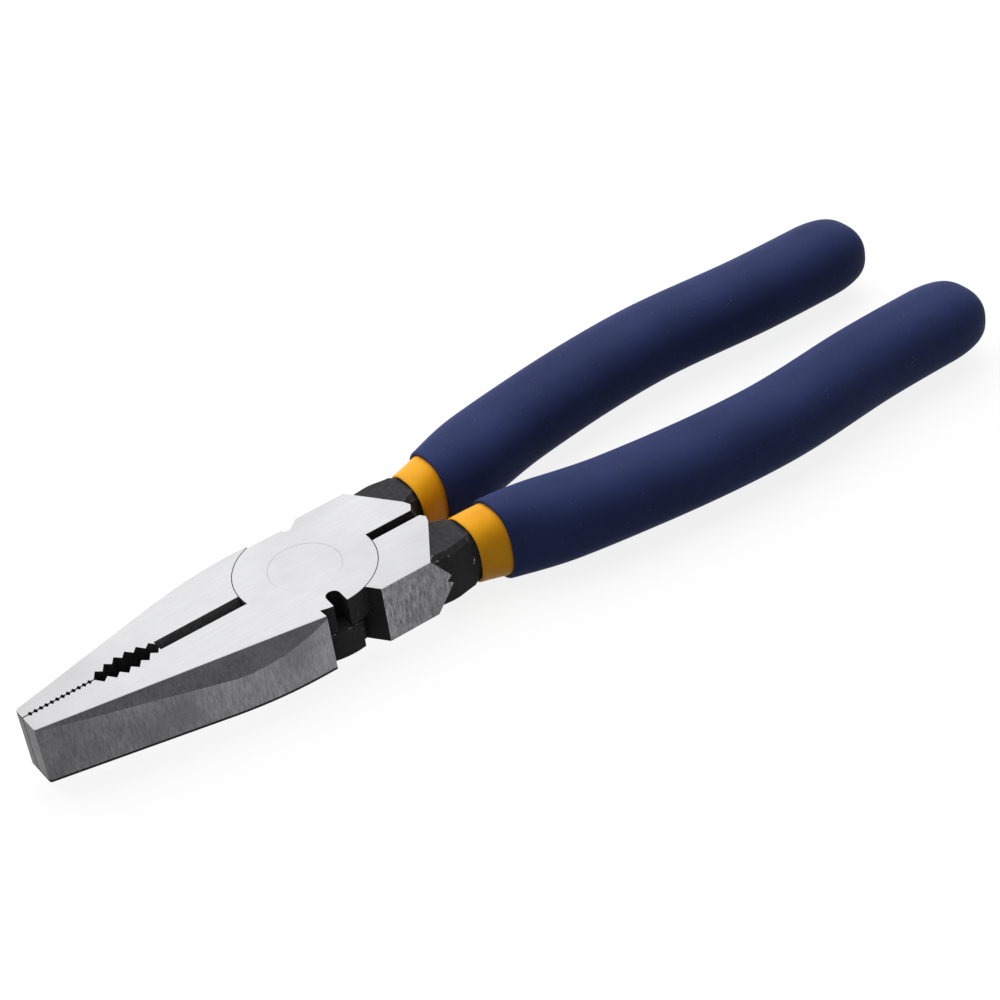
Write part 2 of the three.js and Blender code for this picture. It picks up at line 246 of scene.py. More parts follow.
groundFinish = {
    "light": (0.70, 0.70, 0.71, 1),
    "dark": (0.64, 0.64, 0.65, 1),
    "cloud": (0.55, 0.55, 0.56, 1),
    "cloudScale": 42.0,
    "cloudAmount": 0.75,
    "roughness": (0.26, 0.38),
    "stretch": (70, 1500, 70),
    "turn": 0.25,
    "bump": 0.04,
}
brushedFinish = {
    "light": (0.24, 0.24, 0.245, 1),
    "dark": (0.10, 0.10, 0.105, 1),
    "cloud": (0.095, 0.095, 0.10, 1),
    "cloudScale": 120.0,
    "cloudAmount": 0.6,
    "roughness": (0.38, 0.58),
    "stretch": (3000, 3000, 480),
    "tones": ((-57.8 * mm, 0.76), (-4.7 * mm, 1.36)),    # painted reflection: darker at the jaw tips, brighter at the rear
    "bump": 0.2,
}
shoulderFinish = {
    "light": (0.33, 0.33, 0.335, 1),
    "dark": (0.055, 0.055, 0.06, 1),
    "cloud": (0.12, 0.12, 0.125, 1),
    "cloudScale": 220.0,
    "cloudAmount": 0.5,
    "roughness": (0.38, 0.58),
    "stretch": (2800, 2800, 560),
    "bump": 0.35,
}
facetFinish = {
    "light": (0.11, 0.11, 0.115, 1),
    "dark": (0.05, 0.05, 0.053, 1),
    "cloud": (0.115, 0.115, 0.12, 1),
    "cloudScale": 90.0,
    "cloudAmount": 0.6,
    "roughness": (0.34, 0.5),
    "stretch": (2200, 2200, 420),
    "bump": 0.2,
}
cutterFinish = {
    "metallic": 0.2,
    "light": (0.16, 0.16, 0.165, 1),
    "dark": (0.045, 0.045, 0.048, 1),
    "cloud": (0.06, 0.06, 0.064, 1),
    "cloudScale": 300.0,
    "cloudAmount": 0.5,
    "roughness": (0.45, 0.62),
    "stretch": (1500, 1500, 1500),
    "bump": 0.3,
}
brushForm = {
    "toneRange": (0.36, 0.64),
    "streakShare": 0.6,        # of the change from dark to light
    "gritShare": 0.4,
    "cloud": {"Detail": 3.0, "Roughness": 0.5},
    "cloudRange": (0.42, 0.68),
    "roughRange": (0.3, 0.7),
    "bumpDepth": 0.03 * mm,
}
oxideFinish = {
    "light": (0.056, 0.056, 0.059, 1),
    "dark": (0.030, 0.030, 0.032, 1),
    "chip": (0.40, 0.40, 0.41, 1),
    "roughness": (0.48, 0.66),
    "grain": 900.0,
}
# Painted shade: a near-black oxide for the walls of the shear slot and the front of the shoulder, where shade
# falls
slotShadeFinish = {
    "light": (0.022, 0.021, 0.022, 1),
    "dark": (0.009, 0.009, 0.010, 1),
    "chip": (0.20, 0.20, 0.21, 1),
    "roughness": (0.5, 0.68),
    "grain": 900.0,
}
oxideForm = {
    "specular": 0.07,
    "grain": {"Detail": 5.0, "Roughness": 0.6},
    "toneRange": (0.35, 0.7),
    "roughRange": (0.3, 0.7),
    "chipScale": 2600.0,
    "bump": 0.35,
    "bumpDepth": 0.08 * mm,
}


# A colour that changes in strength along the tool: a painted reflection, brighter towards the rear
def paintReflectionAlong(tree, color, front, rear):
    place = tree.nodes.new("ShaderNodeSeparateXYZ")
    tree.links.new(objectVector(tree), place.inputs["Vector"])
    tone = ramp(tree, place.outputs["X"], front[0], rear[0], front[1], rear[1])
    scaled = addNode(tree, "ShaderNodeVectorMath", operation="SCALE")
    tree.links.new(color, scaled.inputs[0])
    tree.links.new(tone, scaled.inputs["Scale"])
    return scaled.outputs[0]


def brushedMetal(name, finish):
    material, tree, shader = newMaterial(name)
    shader.inputs["Metallic"].default_value = finish.get("metallic", 1.0)
    vector = objectVector(tree, finish["stretch"], finish.get("turn", 0.0))
    streaks = useGroup(tree, streakGroup, vector, Scale=1.0)
    streak, grit = streaks.outputs["Streak"], streaks.outputs["Grit"]
    tone = addNode(tree, "ShaderNodeMath", operation="ADD")
    for socket, part, share in ((0, streak, "streakShare"), (1, grit, "gritShare")):
        tree.links.new(ramp(tree, part, *brushForm["toneRange"], 0.0, brushForm[share]), tone.inputs[socket])
    plain = mixColors(tree, tone.outputs[0], finish["dark"], finish["light"])
    cloud = addNode(tree, "ShaderNodeTexNoise", Scale=finish["cloudScale"], **brushForm["cloud"])
    tree.links.new(objectVector(tree), cloud.inputs["Vector"])
    haze = ramp(tree, cloud.outputs["Fac"], *brushForm["cloudRange"], 0.0, finish["cloudAmount"])
    color = mixColors(tree, haze, plain, finish["cloud"])
    # Painted reflection, where a finish asks for it: the colour grows brighter towards the rear of the tool
    if "tones" in finish:
        color = paintReflectionAlong(tree, color, *finish["tones"])
    tree.links.new(color, shader.inputs["Base Color"])
    low, high = finish["roughness"]
    tree.links.new(ramp(tree, grit, *brushForm["roughRange"], high, low), shader.inputs["Roughness"])
    bumpInto(tree, shader, grit, finish["bump"], brushForm["bumpDepth"])
    return material


def oxideMetal(name, finish, chipAmount):
    material, tree, shader = newMaterial(name)
    shader.inputs["Specular IOR Level"].default_value = oxideForm["specular"]
    vector = objectVector(tree)
    grain = addNode(tree, "ShaderNodeTexNoise", Scale=finish["grain"], **oxideForm["grain"])
    tree.links.new(vector, grain.inputs["Vector"])
    chips = useGroup(tree, fleckGroup, vector, Scale=oxideForm["chipScale"], Amount=chipAmount)
    tone = ramp(tree, grain.outputs["Fac"], *oxideForm["toneRange"])
    base = mixColors(tree, tone, finish["dark"], finish["light"])
    chipped = mixColors(tree, chips.outputs["Mask"], base, finish["chip"])
    tree.links.new(chipped, shader.inputs["Base Color"])
    rough = ramp(tree, grain.outputs["Fac"], *oxideForm["roughRange"], *finish["roughness"])
    tree.links.new(rough, shader.inputs["Roughness"])
    tree.links.new(chips.outputs["Mask"], shader.inputs["Metallic"])
    bumpInto(tree, shader, grain.outputs["Fac"], oxideForm["bump"], oxideForm["bumpDepth"])
    return material


groundSteel = brushedMetal("groundSteel", groundFinish)
brushedSteel = brushedMetal("brushedSteel", brushedFinish)
shoulderSteel = brushedMetal("shoulderSteel", shoulderFinish)
facetSteel = brushedMetal("facetSteel", facetFinish)
cutterSteel = brushedMetal("cutterSteel", cutterFinish)
blackOxide = oxideMetal("blackOxide", oxideFinish, chipAmount=0.12)
wornOxide = oxideMetal("wornOxide", oxideFinish, chipAmount=0.55)
slotShadeOxide = oxideMetal("slotShadeOxide", slotShadeFinish, chipAmount=0.08)
print("steel finishes made")


# Vinyl finishes

yellowFinish = {
    "light": (1.0, 0.46, 0.012, 1),
    "dark": (0.95, 0.39, 0.006, 1),
    "sheen": (1.0, 0.75, 0.35, 1),
    "specular": 0.3,
    "roughness": (0.36, 0.5),
    "mottle": {"Scale": 260.0, "Detail": 4.0, "Roughness": 0.55},
    "toneRange": (0.35, 0.65),
    "roughRange": (0.3, 0.7),
    "bump": 0.12,
    "bumpDepth": 0.2 * mm,
}
navyFinish = {
    "light": (0.030, 0.044, 0.136, 1),
    "dark": (0.023, 0.033, 0.102, 1),
    "dust": (0.30, 0.33, 0.42, 1),
    "dustScale": 1500.0,
    "dustAmount": 0.16,
    "dustCover": 0.35,
    "specular": 0.07,
    "roughness": (0.5, 0.68),
    "grain": {"Scale": 1900.0, "Detail": 3.0, "Roughness": 0.6},
    "cloud": {"Scale": 70.0, "Detail": 3.0, "Roughness": 0.5},
    "toneRange": (0.3, 0.7),
    "roughRange": (0.3, 0.7),
    "bump": 0.4,
    "bumpDepth": 0.1 * mm,
}


# What both vinyls share: an uneven roughness and a soft grain
def finishVinyl(tree, shader, finish, height):
    rough = ramp(tree, height, *finish["roughRange"], *finish["roughness"])
    tree.links.new(rough, shader.inputs["Roughness"])
    shader.inputs["Specular IOR Level"].default_value = finish["specular"]
    bumpInto(tree, shader, height, finish["bump"], finish["bumpDepth"])


def makeYellowVinyl():
    finish = yellowFinish
    material, tree, shader = newMaterial("yellowVinyl")
    mottle = addNode(tree, "ShaderNodeTexNoise", **finish["mottle"])
    tree.links.new(objectVector(tree), mottle.inputs["Vector"])
    tone = ramp(tree, mottle.outputs["Fac"], *finish["toneRange"])
    tree.links.new(mixColors(tree, tone, finish["dark"], finish["light"]), shader.inputs["Base Color"])
    shader.inputs["Specular Tint"].default_value = finish["sheen"]
    finishVinyl(tree, shader, finish, mottle.outputs["Fac"])
    return material


def makeNavyVinyl():
    finish = navyFinish
    material, tree, shader = newMaterial("navyVinyl")
    vector = objectVector(tree)
    grain = addNode(tree, "ShaderNodeTexNoise", **finish["grain"])
    cloud = addNode(tree, "ShaderNodeTexNoise", **finish["cloud"])
    tree.links.new(vector, grain.inputs["Vector"])
    tree.links.new(vector, cloud.inputs["Vector"])
    dust = useGroup(tree, fleckGroup, vector, Scale=finish["dustScale"], Amount=finish["dustAmount"])
    tone = ramp(tree, cloud.outputs["Fac"], *finish["toneRange"])
    color = mixColors(tree, tone, finish["dark"], finish["light"])
    cover = ramp(tree, dust.outputs["Mask"], 0, 1, 0, finish["dustCover"])
    tree.links.new(mixColors(tree, cover, color, finish["dust"]), shader.inputs["Base Color"])
    finishVinyl(tree, shader, finish, grain.outputs["Fac"])
    return material


yellowVinyl = makeYellowVinyl()
navyVinyl = makeNavyVinyl()
print("vinyl finishes made")


# Making pieces

def addPiece(mesh):
    piece = bpy.data.objects.new(mesh.name, mesh)
    bpy.context.scene.collection.objects.link(piece)
    return piece


# Attaches a finished piece to its body and hides the solid that it stands for
def declare(piece, body, node):
    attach(piece, body)
    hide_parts(node)


def bakeModifiers(piece):
    depsgraph = bpy.context.evaluated_depsgraph_get()
    mesh = bpy.data.meshes.new_from_object(piece.evaluated_get(depsgraph))
    piece.modifiers.clear()
    piece.data = mesh


# Levers: the forged shape with its edges broken, each face given the finish of its zone, with painted shade
# in the shear slot, on the shoulder's front and along the jaws' lower edges

steel = {
    "edgeBreak": 0.09 * mm,
    "edgeSteps": 2,
    "edgeAngle": 24,           # degrees between two faces, from which their edge is broken
    "sharpAngle": 32,
    "flatAngle": 0.4,          # faces closer than this to one plane are joined
    "normalWeight": 100,
    "lowerEdge": 0.55 * mm,    # painted shade: a dark strip along the lower outer edge of each jaw, where its chamfer lies in shade
    "hiddenBar": 38 * mm,      # beyond this the steel is inside the sleeves
    "toothEnd": -30.4 * mm,    # the teeth and the pipe grip lie in front of this
    "toothReach": 4.6 * mm,    # and no further than this from the middle
    "cutterEnd": -12.4 * mm,   # the cutting edge lies between toothEnd and this
    "cutterReach": 2.2 * mm,
    "jawRear": -4.7 * mm,      # the jaw lies in front of this
    "jawSide": 2.5 * mm,       # and its outer side beyond this
    "shoulderSide": 14.3 * mm,
    "sideShift": 0.9 * mm,     # the outline of a lever lies this far to one side of the pivot axis
    "discRadius": 13.2 * mm,
    "seatRadius": 13.5 * mm,
    "seatClosing": 0.1 * mm,   # each wall of the joint's gap comes this much closer, for a hairline
    "slotBox": ((-2.4 * mm, -13.1 * mm), (0.8 * mm, -8.8 * mm)),    # round the shear slot, seen from above
    "shoulderFoot": (3 * mm, 10.5 * mm),    # the front of the shoulder lies from here to shoulderFront
    "shoulderFront": 7 * mm,
    "rivetHole": 7.1 * mm,     # the rim within this radius keeps its sharp edge
    "margin": 0.06 * mm,
}
facing = {"straight": 0.98, "nearly": 0.9, "mostly": 0.5, "partly": 0.3, "barely": 0.1}    # share of a normal
steelZones = [
    groundSteel, brushedSteel, shoulderSteel, facetSteel, cutterSteel, blackOxide, wornOxide, slotShadeOxide,
]
ground, brushed, shoulder, facet, cutter, oxide, worn, slotShade = range(len(steelZones))


# A point or direction in the lever's own frame, where both levers look alike
def ownFrame(side, vector, isPoint):
    if side == "front":
        return Vector(vector)
    height = 2 * midPlane - vector[2] if isPoint else -vector[2]
    return Vector((vector[0], -vector[1], height))


def sideShift(side):
    return steel["sideShift"] if side == "front" else -steel["sideShift"]


# Which finish a face has, from its place and its direction; the shear slot's walls and the shoulder's front
# get painted shade
def steelZone(side, center, normal):
    atFace = abs(abs(center.z - midPlane) - (headTop - midPlane)) < steel["margin"]
    if abs(normal.z) > facing["straight"]:
        return ground if atFace else oxide
    isJaw = center.x < steel["jawRear"] and center.y < 0
    if isJaw and normal.z > facing["partly"]:
        return facet
    isOuter = normal.y < -facing["mostly"] or normal.x < -facing["mostly"]
    if isJaw and isOuter and abs(normal.z) < facing["barely"]:
        isTip = normal.x < -facing["nearly"]
        return brushed if isTip or center.y < -steel["jawSide"] else oxide
    inCutter = steel["toothEnd"] < center.x < steel["cutterEnd"] and abs(center.y) < steel["cutterReach"]
    if inCutter and normal.y > facing["mostly"]:
        return cutter
    shoulderSide = steel["shoulderSide"] - sideShift(side)
    if abs(center.y - shoulderSide) < steel["margin"] and normal.y > facing["straight"]:
        return shoulder
    # Painted shade: the walls of the shear slot and the front of the shoulder take the near-black oxide
    low, high = steel["slotBox"]
    inSlot = low[0] < center.x < high[0] and low[1] < center.y < high[1]
    footX, footY = steel["shoulderFoot"]
    onFoot = footX < center.x < steel["shoulderFront"] and center.y > footY
    isFront = onFoot and normal.x < -facing["mostly"]
    return slotShade if inSlot or isFront else oxide


# Brings the walls of the joint's gap closer together
def closeSeatGap(bm):
    for vert in bm.verts:
        radius = math.hypot(vert.co.x, vert.co.y)
        for wall, closing in (("discRadius", 1), ("seatRadius", -1)):
            if abs(radius - steel[wall]) < steel["margin"] / 2:
                grown = (steel[wall] + closing * steel["seatClosing"]) / radius
                vert.co.x *= grown
                vert.co.y *= grown


# Paints shade along the lower outer edge of a jaw, as a dark strip in the oxide finish
def paintLowerEdgeShade(side, bm):
    height = steel["lowerEdge"] if side == "front" else 2 * midPlane - steel["lowerEdge"]
    faces = [face for face in bm.faces if face.material_index == brushed]
    touched = {item for face in faces for item in (*face.verts, *face.edges)}
    bmesh.ops.bisect_plane(bm, geom=[*faces, *touched], plane_co=(0, 0, height), plane_no=(0, 0, 1))
    for face in bm.faces:
        center = ownFrame(side, face.calc_center_median(), True)
        if face.material_index == brushed and center.z < steel["lowerEdge"]:
            face.material_index = oxide


# Rounds the sharp edges, apart from the teeth, the rivet hole and the bar inside the sleeves
def breakEdges(bm):
    edges = []
    for edge in bm.edges:
        middle = (edge.verts[0].co + edge.verts[1].co) / 2
        inTeeth = middle.x < steel["toothEnd"] and abs(middle.y) < steel["toothReach"]
        inHole = math.hypot(middle.x, middle.y) < steel["rivetHole"]
        if inTeeth or inHole or middle.x > steel["hiddenBar"] or len(edge.link_faces) != 2:
            continue
        if edge.calc_face_angle(0) > math.radians(steel["edgeAngle"]):
            edges.append(edge)
    bmesh.ops.bevel(
        bm, geom=edges, offset=steel["edgeBreak"], segments=steel["edgeSteps"], profile=0.5,
        affect="EDGES", clamp_overlap=False, material=worn,
    )


# A broken edge looks worn only beside oxide
def settleEdgeZones(bm):
    for face in bm.faces:
        if face.material_index != worn:
            continue
        around = {other.material_index for edge in face.edges for other in edge.link_faces} - {worn}
        if around and oxide not in around and slotShade not in around:
            face.material_index = min(around)


# Ground faces and facets shade as true planes
def flattenNormals(mesh):
    normals = [corner.vector.copy() for corner in mesh.corner_normals]
    for face in mesh.polygons:
        if face.material_index in (ground, facet):
            for corner in face.loop_indices:
                normals[corner] = face.normal.copy()
    mesh.normals_split_custom_set(normals)


def makeLever(side):
    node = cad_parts[f"{side}_lever"]
    bm = bmesh.new()
    bm.from_mesh(node.data)
    bmesh.ops.remove_doubles(bm, verts=bm.verts, dist=weld)
    bmesh.ops.dissolve_limit(
        bm, angle_limit=math.radians(steel["flatAngle"]), verts=bm.verts, edges=bm.edges,
        use_dissolve_boundaries=False,
    )
    for face in bm.faces:
        center = ownFrame(side, face.calc_center_median(), True)
        face.material_index = steelZone(side, center, ownFrame(side, face.normal, False))
    closeSeatGap(bm)
    paintLowerEdgeShade(side, bm)
    breakEdges(bm)
    settleEdgeZones(bm)
    for face in bm.faces:
        face.smooth = face.material_index not in (ground, facet)
    bmesh.ops.triangulate(bm, faces=[face for face in bm.faces if len(face.verts) > 4])
    mesh = bpy.data.meshes.new(f"{side}_lever_steel")
    bm.to_mesh(mesh)
    bm.free()
    for material in steelZones:
        mesh.materials.append(material)
    mesh.set_sharp_from_angle(angle=math.radians(steel["sharpAngle"]))
    piece = addPiece(mesh)
    evenNormals = piece.modifiers.new("evenNormals", "WEIGHTED_NORMAL")
    evenNormals.weight = steel["normalWeight"]
    evenNormals.keep_sharp = True
    bakeModifiers(piece)
    flattenNormals(piece.data)
    declare(piece, sides[side], f"{side}_lever")
    return piece


for side in sides:
    lever = makeLever(side)
    print(lever.name, len(lever.data.polygons), "faces")


# Rivet: flush, with flared ends and a fine turned edge

rivet = {
    "radius": 6.88 * mm,
    "shank": 5.2 * mm,
    "flare": 1.5 * mm,
    "edge": 0.03 * mm,
    "steps": 128,
    "sharpAngle": 30,
}


def makeRivet():
    bm = bmesh.new()
    low, high = headLow[2], headTop
    profile = [
        (0.0, low), (rivet["radius"] - rivet["edge"], low), (rivet["radius"], low + rivet["edge"]),
        (rivet["shank"], low + rivet["flare"]), (rivet["shank"], high - rivet["flare"]),
        (rivet["radius"], high - rivet["edge"]), (rivet["radius"] - rivet["edge"], high), (0.0, high),
    ]
    points = [bm.verts.new((radius, 0, height)) for radius, height in profile]
    edges = [bm.edges.new(pair) for pair in zip(points, points[1:])]
    bmesh.ops.spin(
        bm, geom=points + edges, axis=(0, 0, 1), cent=(0, 0, 0), angle=2 * math.pi, steps=rivet["steps"],
    )
    bmesh.ops.remove_doubles(bm, verts=bm.verts, dist=weld)
    bmesh.ops.recalc_face_normals(bm, faces=bm.faces)
    for face in bm.faces:
        face.smooth = True
    mesh = bpy.data.meshes.new("rivet_steel")
    bm.to_mesh(mesh)
    bm.free()
    mesh.materials.append(groundSteel)
    mesh.set_sharp_from_angle(angle=math.radians(rivet["sharpAngle"]))
    declare(addPiece(mesh), "rear_half", "pivot_rivet")


makeRivet()
print("rivet made")


# Handle line, shared by both sleeves of a side, in millimetres

handle = {
    "points": [(15, 7.6), (29, 9.4), (58, 16.1), (91, 19.5), (120, 17.65), (146.6, 17.4)],
    "tangHalf": (4.85, 5.5),   # half width and half height
    "barEndGap": 9.0,          # from the end of the steel to the end of the grip
    "steps": 180,
}
sleeve = {
    "front": 27.5,             # from the pivot axis
    "collarLength": 5.7,
    "collarRise": 0.95,
    "gap": 0.2,
    "boreLift": 0.25,          # the oval bore clears the corners of the steel
    "boreEase": 0.05,
    "boreEdge": (0.3, 0.2),    # ring inside the front edge: shares of edgeRound along and across the handle
    "wall": 0.6,
    "endWall": 1.4,
    "edgeRound": 0.22,
    "roundness": 2.6,          # 2 is an ellipse, more is squarer
    "ring": 96,
    "boreSteps": 30,
    "edgeSteps": 4,
    "collarSteps": 14,
    "bodySteps": 50,
    "weld": 0.0005 * mm,
    "sharpAngle": 55,
}
grip = {
    "half": (8.35, 7.1),       # half width and half height
    "lip": 0.55,               # thickness at the front edge
    "swell": 13.0,             # length over which it widens
    "taper": 26.0,             # length over which its height comes down
    "endRadius": 10.5,
    "endPower": 0.38,          # 1 is a round end, less is blunter
    "edgeRound": 0.32,
    "boreEase": 0.05,
    "lastRing": (0.02, 2.0, 1.7),    # from the tip, half width, half height
    "roundness": 2.5,
    "ring": 96,
    "boreSteps": 60,
    "edgeSteps": 5,
    "swellSteps": 24,
    "bodySteps": 70,
    "endSteps": 20,
}


# Centripetal curve through the handle's points
def sampleHandle():
    points = [Vector(point) for point in handle["points"]]
    points = [points[0] * 2 - points[1]] + points + [points[-1] * 2 - points[-2]]
    dense = []
    for i in range(1, len(points) - 2):
        p0, p1, p2, p3 = points[i - 1:i + 3]
        k1, k2, k3 = ((b - a).length ** 0.5 for a, b in ((p0, p1), (p1, p2), (p2, p3)))
        m1 = ((p1 - p0) / k1 - (p2 - p0) / (k1 + k2) + (p2 - p1) / k2) * k2
        m2 = ((p2 - p1) / k2 - (p3 - p1) / (k2 + k3) + (p3 - p2) / k3) * k2
        for step in range(handle["steps"]):
            t = step / handle["steps"]
            start = p1 * (2 * t ** 3 - 3 * t ** 2 + 1) + m1 * (t ** 3 - 2 * t ** 2 + t)
            dense.append(start + p2 * (3 * t ** 2 - 2 * t ** 3) + m2 * (t ** 3 - t ** 2))
    dense.append(points[-2])
    return dense


handleLine = sampleHandle()
handleTip = handle["points"][-1][0]
barEnd = handleTip - handle["barEndGap"]
gripFront = sleeve["front"] + sleeve["collarLength"]


# Where the handle line runs at a distance from the pivot axis, and how much a slant widens a section there
def onHandle(x):
    i = 0
    while i < len(handleLine) - 2 and handleLine[i + 1].x < x:
        i += 1
    a, b = handleLine[i], handleLine[i + 1]
    slope = (b.y - a.y) / (b.x - a.x)
    return a.y + slope * (x - a.x), math.hypot(1, slope)


def smooth(value, low, high):
    t = min(max((value - low) / (high - low), 0.0), 1.0)
    return t * t * (3 - 2 * t)


def spaced(start, end, steps):
    return [start + (end - start) * (i / steps) for i in range(steps + 1)]


# How far a rounded edge lies in from its front and from its side, from the front to the side
def roundedEdge(radius, steps):
    angles = [math.pi / 2 * i / steps for i in range(steps)]
    return [(radius * (1 - math.cos(angle)), radius * (1 - math.sin(angle))) for angle in angles]


# Stations of a sleeve: distance from the pivot axis, half width and half height, in order along its skin
def innerStations():
    width, height = handle["tangHalf"]
    front, gap, edge = sleeve["front"], sleeve["gap"], sleeve["edgeRound"]
    boreEnd = barEnd + gap
    end = boreEnd + sleeve["endWall"]

    def skin(x):
        rise = min((x - front) / sleeve["collarLength"], 1.0)
        rise -= smooth(x, gripFront, gripFront + grip["taper"])
        wall = gap + sleeve["wall"]
        return width + wall, height + wall + sleeve["collarRise"] * rise

    bore = width + gap + sleeve["boreEase"], height + gap + sleeve["boreLift"]
    stations = [(boreEnd, 0.0, 0.0)]
    stations += [(x, *bore) for x in spaced(boreEnd, front + edge, sleeve["boreSteps"])]
    along, across = (edge * share for share in sleeve["boreEdge"])
    stations.append((front + along, bore[0] + across, bore[1] + across))
    for back, trim in roundedEdge(edge, sleeve["edgeSteps"]):
        stations.append((front + back, *(half - trim for half in skin(front))))
    stations += [(x, *skin(x)) for x in spaced(front + edge, gripFront, sleeve["collarSteps"])]
    stations += [(x, *skin(x)) for x in spaced(gripFront, end, sleeve["bodySteps"])[1:]]
    stations.append((end, 0.0, 0.0))
    return stations


def gripStations():
    lip = 2 * sleeve["gap"] + sleeve["wall"] + grip["lip"]
    lipHalf = [half + lip for half in handle["tangHalf"]]
    lipHalf[1] += sleeve["collarRise"]
    boreEnd = barEnd + 2 * sleeve["gap"] + sleeve["endWall"]
    roundFrom = handleTip - grip["endRadius"]
    edge = grip["edgeRound"]

    def skin(x, scale=1.0, trim=0.0):
        swell = 2 * smooth(x, gripFront - grip["swell"], gripFront + grip["swell"]) - 1
        taper = smooth(x, gripFront, gripFront + grip["taper"])
        width = lipHalf[0] + (grip["half"][0] - lipHalf[0]) * swell
        height = lipHalf[1] + (grip["half"][1] - lipHalf[1]) * taper
        return x, width * scale - trim, height * scale - trim

    def bore(x):
        rise = 1 - smooth(x, gripFront, gripFront + grip["taper"])
        wall = 2 * sleeve["gap"] + sleeve["wall"]
        width, height = handle["tangHalf"]
        return x, width + wall, height + wall + sleeve["collarRise"] * rise

    stations = [(boreEnd, 0.0, 0.0)]
    stations += [bore(x) for x in spaced(boreEnd, gripFront + grip["boreEase"], grip["boreSteps"])]
    for back, trim in roundedEdge(edge, grip["edgeSteps"]):
        stations.append((gripFront + back, *skin(gripFront, trim=trim)[1:]))
    swellEnd = gripFront + 2 * grip["swell"]
    stations += [skin(x) for x in spaced(gripFront + edge, swellEnd, grip["swellSteps"])]
    stations += [skin(x) for x in spaced(swellEnd, roundFrom, grip["bodySteps"])[1:]]
    for i in range(1, grip["endSteps"]):
        angle = math.pi / 2 * i / grip["endSteps"]
        x = roundFrom + grip["endRadius"] * math.sin(angle)
        stations.append(skin(x, math.cos(angle) ** grip["endPower"]))
    fromTip, width, height = grip["lastRing"]
    stations += [(handleTip - fromTip, width, height), (handleTip, 0.0, 0.0)]
    return stations


# Geometry Nodes: a skin over oval sections, one at each station of a line
def makeSkinTree():
    tree = bpy.data.node_groups.new("sweptSkin", "GeometryNodeTree")
    sockets = tree.interface
    sockets.new_socket("Geometry", in_out="INPUT", socket_type="NodeSocketGeometry")
    sockets.new_socket("Ring Points", in_out="INPUT", socket_type="NodeSocketInt")
    sockets.new_socket("Roundness", in_out="INPUT", socket_type="NodeSocketFloat")
    sockets.new_socket("Material", in_out="INPUT", socket_type="NodeSocketMaterial")
    sockets.new_socket("Geometry", in_out="OUTPUT", socket_type="NodeSocketGeometry")
    start = tree.nodes.new("NodeGroupInput")
    end = tree.nodes.new("NodeGroupOutput")
    link = tree.links.new

    def mathNode(operation, first, second=None):
        node = addNode(tree, "ShaderNodeMath", operation=operation)
        for socket, value in zip(node.inputs, (first, second)):
            if hasattr(value, "is_linked"):
                link(value, socket)
            elif value is not None:
                socket.default_value = value
        return node.outputs[0]

    size = addNode(tree, "GeometryNodeAttributeDomainSize", component="MESH")
    link(start.outputs["Geometry"], size.inputs["Geometry"])
    rows = mathNode("ADD", start.outputs["Ring Points"], 1.0)
    grid = tree.nodes.new("GeometryNodeMeshGrid")
    link(size.outputs["Point Count"], grid.inputs["Vertices X"])
    link(rows, grid.inputs["Vertices Y"])
    index = tree.nodes.new("GeometryNodeInputIndex").outputs["Index"]
    safeIndex = mathNode("ADD", index, 0.5)    # so that rounding can't shift a corner to another station
    station = mathNode("FLOOR", mathNode("DIVIDE", safeIndex, rows))
    corner = mathNode("MODULO", index, rows)
    angle = mathNode("MULTIPLY", mathNode("DIVIDE", corner, start.outputs["Ring Points"]), 2 * math.pi)
    power = mathNode("DIVIDE", 2.0, start.outputs["Roundness"])

    def sampled(dataType, value):
        node = addNode(tree, "GeometryNodeSampleIndex", data_type=dataType, domain="POINT")
        link(start.outputs["Geometry"], node.inputs["Geometry"])
        link(value, node.inputs["Value"])
        link(station, node.inputs["Index"])
        return node.outputs["Value"]

    def stored(name):
        node = addNode(tree, "GeometryNodeInputNamedAttribute", data_type="FLOAT")
        node.inputs["Name"].default_value = name
        return sampled("FLOAT", node.outputs["Attribute"])

    def reach(operation, half):
        wave = mathNode(operation, angle)
        rounded = mathNode("POWER", mathNode("ABSOLUTE", wave), power)
        return mathNode("MULTIPLY", mathNode("MULTIPLY", rounded, mathNode("SIGN", wave)), half)

    offset = tree.nodes.new("ShaderNodeCombineXYZ")
    link(reach("COSINE", stored("halfWidth")), offset.inputs["Y"])
    link(reach("SINE", stored("halfHeight")), offset.inputs["Z"])
    place = addNode(tree, "GeometryNodeSetPosition")
    link(grid.outputs["Mesh"], place.inputs["Geometry"])
    linePoint = tree.nodes.new("GeometryNodeInputPosition").outputs["Position"]
    link(sampled("FLOAT_VECTOR", linePoint), place.inputs["Position"])
    link(offset.outputs["Vector"], place.inputs["Offset"])
    join = tree.nodes.new("GeometryNodeMergeByDistance")
    join.inputs["Distance"].default_value = sleeve["weld"]
    link(place.outputs["Geometry"], join.inputs["Geometry"])
    plain = tree.nodes.new("GeometryNodeRealizeInstances")
    link(join.outputs["Geometry"], plain.inputs["Geometry"])
    finish = tree.nodes.new("GeometryNodeSetMaterial")
    link(plain.outputs["Geometry"], finish.inputs["Geometry"])
    link(start.outputs["Material"], finish.inputs["Material"])
    link(finish.outputs["Geometry"], end.inputs["Geometry"])
    return tree


skinTree = makeSkinTree()


# Runs a piece through a tree, then keeps the result as a plain mesh
def useTree(piece, tree, **values):
    modifier = piece.modifiers.new(tree.name, "NODES")
    modifier.node_group = tree
    for item in tree.interface.items_tree:
        key = item.name.replace(" ", "")
        if item.in_out == "INPUT" and key in values:
            modifier[item.identifier] = values[key]
    bakeModifiers(piece)


